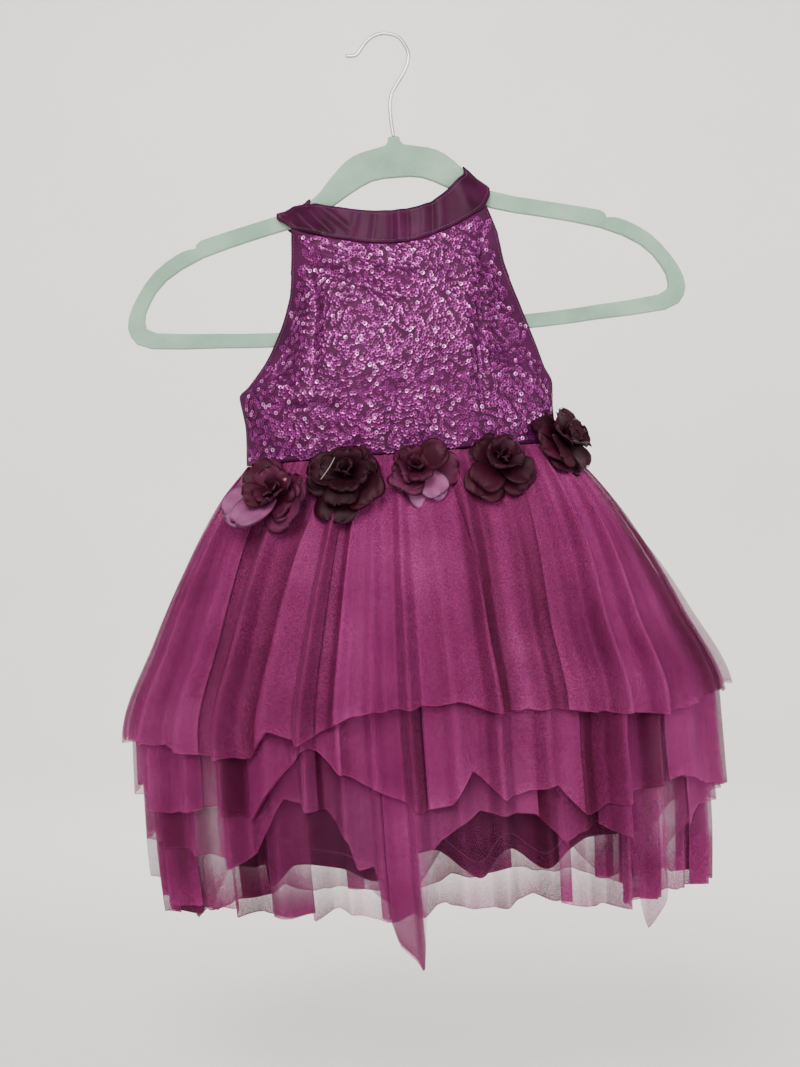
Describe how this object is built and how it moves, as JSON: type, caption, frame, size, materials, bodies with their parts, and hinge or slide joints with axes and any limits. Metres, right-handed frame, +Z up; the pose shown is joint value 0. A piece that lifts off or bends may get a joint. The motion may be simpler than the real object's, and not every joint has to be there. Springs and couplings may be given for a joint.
{
  "type": "toddler party dress on a hanger",
  "caption": "Halter party dress with a sequinned bodice, satin neckband, flowers at the waist and a flared skirt of layered tulle with pointed hems, hanging on a flocked hanger.",
  "frame": {"origin": "inside top of the hanger's hook, where a rail holds it", "axes": "+Z up, +X to the right of a viewer at the dress's front, and the front faces -Y"},
  "size_m": [0.485, 0.2026, 0.7187],
  "materials": {
    "hanger_flock": "pale green-grey flock on moulded plastic",
    "hook_steel": "polished plated wire",
    "band_satin": "dark plum satin, soft sheen",
    "button": "small dark plum shirt button",
    "bodice_sequins": "plum net covered with flat purple sequins",
    "lining_satin": "very dark plum satin",
    "skirt_tulle": "sheer mauve-plum tulle, matte",
    "flower_satin": "dark wine satin petals with curled edges"
  },
  "bodies": {
    "root": {"hanger_frame": "hanger_flock", "hanger_hook": "hook_steel", "neckband": "band_satin", "neckband_button": "button", "bodice_front": "bodice_sequins", "bodice_back_left": "bodice_sequins", "bodice_back_right": "bodice_sequins", "skirt_lining": "lining_satin", "skirt_even": "skirt_tulle", "skirt_long": "skirt_tulle", "skirt_middle": "skirt_tulle", "skirt_top": "skirt_tulle", "flower_1": "flower_satin", "flower_2": "flower_satin", "flower_3": "flower_satin", "flower_4": "flower_satin", "flower_5": "flower_satin"}
  },
  "joints": []
}
